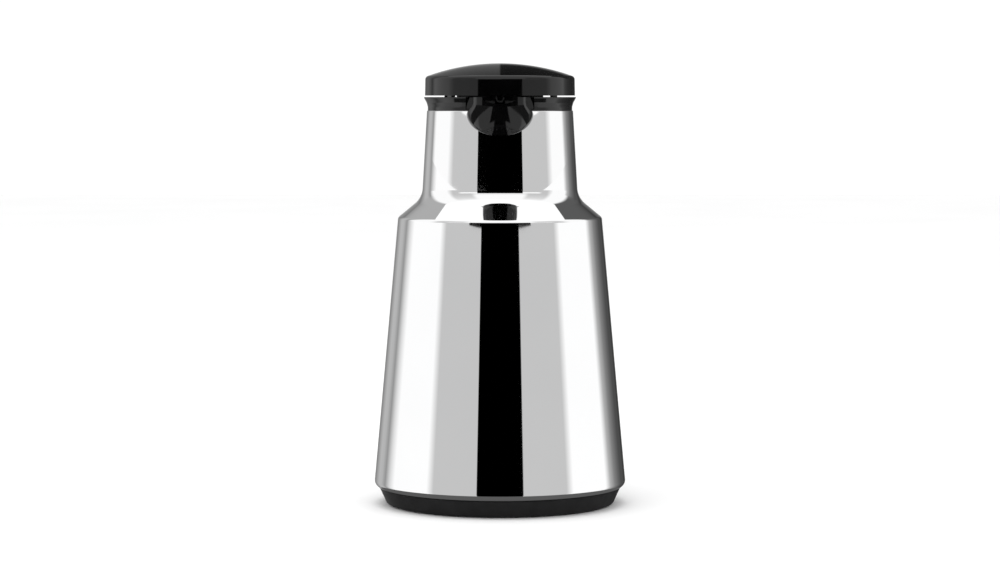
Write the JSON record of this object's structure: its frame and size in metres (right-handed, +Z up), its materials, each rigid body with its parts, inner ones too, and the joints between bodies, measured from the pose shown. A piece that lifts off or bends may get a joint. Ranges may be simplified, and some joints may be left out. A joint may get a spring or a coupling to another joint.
{
  "type": "vacuum pump pot",
  "caption": "Insulated pump pot with a polished conical steel body, a domed press lid, an open pouring beak and a rear handle.",
  "frame": {"origin": "centre of the foot ring, on the surface the pot stands on", "axes": "+Z up along the body's axis; the pouring beak points to -Y and the handle to +Y"},
  "size_m": [0.166, 0.1953, 0.2907],
  "materials": {
    "chrome": "mirror-polished stainless steel",
    "steel": "plain stainless steel",
    "gloss_black": "high-gloss black moulded plastic",
    "satin_black": "satin black moulded plastic",
    "white_plastic": "natural food-grade polypropylene",
    "rubber_black": "black moulded rubber",
    "rubber_grey": "grey moulded rubber",
    "silicone": "translucent silicone rubber",
    "glass": "silvered vacuum-flask glass"
  },
  "bodies": {
    "vessel": {"body_shell": "chrome", "base_ring": "steel", "base_cover": "satin_black", "base_screws": "steel", "foot_ring": "rubber_black", "flask_inner": "glass", "flask_outer": "glass", "flask_cushion": "rubber_grey", "flask_gasket": "rubber_grey", "collar": "gloss_black", "latch_pin": "steel", "latch_spring": "steel", "handle_grip": "satin_black", "handle_insert": "rubber_black", "handle_screws": "steel", "lower_bracket": "satin_black"},
    "pump_head": {"deck_plate": "satin_black", "deck_screws": "steel", "pump_housing": "white_plastic", "stopper_seal": "silicone", "manifold": "white_plastic", "riser_tube": "white_plastic", "outlet_nozzle": "satin_black", "ball_cage": "white_plastic", "dip_tube": "white_plastic", "delivery_valve": "silicone", "pouring_beak": "gloss_black", "bellows": "white_plastic", "pump_spring": "steel"},
    "valve_ball": {"valve_ball": "silicone"},
    "lid_slide": {"lid_guide": "satin_black", "intake_valve": "silicone"},
    "press_lid": {"press_lid": "gloss_black"},
    "latch": {"latch_lever": "gloss_black"}
  },
  "joints": [
    {"name": "head_lift", "type": "slide", "parent": "vessel", "child": "pump_head", "axis": [0, 0, 1], "range_m": [0, 0.25]},
    {"name": "lid_press", "type": "slide", "parent": "pump_head", "child": "lid_slide", "axis": [0, 0, 1], "range_m": [0, 0.02], "deforming": ["bellows", "pump_spring"]},
    {"name": "lid_lock", "type": "hinge", "parent": "lid_slide", "child": "press_lid", "pos_m": [0, 0, 0.277], "axis": [0, 0, 1], "range_deg": [0, 25]},
    {"name": "latch_open", "type": "hinge", "parent": "vessel", "child": "latch", "pos_m": [0, 0.0535, 0.25], "axis": [-1, 0, 0], "range_deg": [0, 10], "stiffness_Nm_per_rad": 0.05, "springref_deg": -9.74},
    {"name": "ball_lift", "type": "slide", "parent": "pump_head", "child": "valve_ball", "axis": [0, 0, 1], "range_m": [0, 0.003]}
  ]
}
